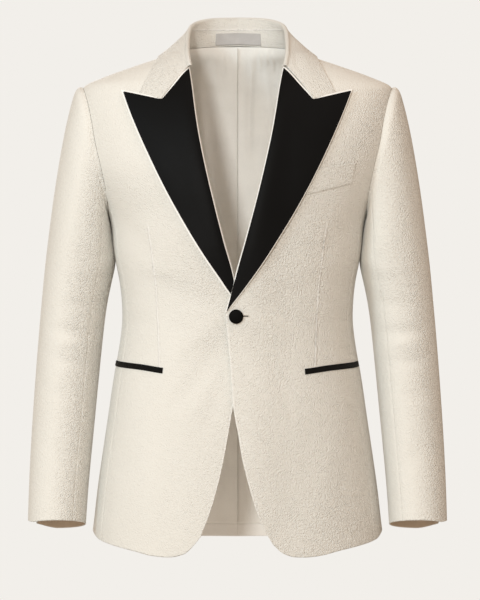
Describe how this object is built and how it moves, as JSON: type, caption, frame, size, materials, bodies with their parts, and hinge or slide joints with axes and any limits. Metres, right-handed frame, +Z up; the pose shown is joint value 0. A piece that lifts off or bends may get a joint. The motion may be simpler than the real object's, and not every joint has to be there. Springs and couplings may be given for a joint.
{
  "type": "tuxedo jacket",
  "caption": "Men's dinner jacket in ivory cloth, filled out as worn: peaked black satin lapels, fastened front, open neck, hem and cuffs.",
  "frame": {"origin": "between the shoulders, on the level of the neck point of the shoulder seams, where the wearer's shoulders carry the jacket", "axes": "+Z up, -Y out of the garment's front, +X to the wearer's left"},
  "size_m": [0.602, 0.279, 0.778],
  "materials": {
    "cloth": "matt ivory cloth with a fine crinkled relief weave",
    "satin": "black satin with a soft sheen",
    "lining": "smooth beige twill lining with a faint sheen",
    "rib": "black silk with a faint slanting rib",
    "button": "button covered in black cloth",
    "label": "plain grey satin ribbon"
  },
  "bodies": {
    "root": {"back_left": "cloth", "back_right": "cloth", "breast_welt": "cloth", "button": "button", "collar": "cloth", "cuff_lining_left": "lining", "cuff_lining_right": "lining", "front_left": "cloth", "front_right": "cloth", "hem_turn_up_left": "cloth", "hem_turn_up_right": "cloth", "hip_welt_left": "rib", "hip_welt_right": "rib", "lapel_left": "cloth", "lapel_right": "cloth", "lapel_satin_left": "satin", "lapel_satin_right": "satin", "lining_back_left": "lining", "lining_back_right": "lining", "neck_label": "label", "side_left": "cloth", "side_right": "cloth", "sleeve_under_left": "cloth", "sleeve_under_right": "cloth", "sleeve_upper_left": "cloth", "sleeve_upper_right": "cloth"}
  },
  "joints": []
}
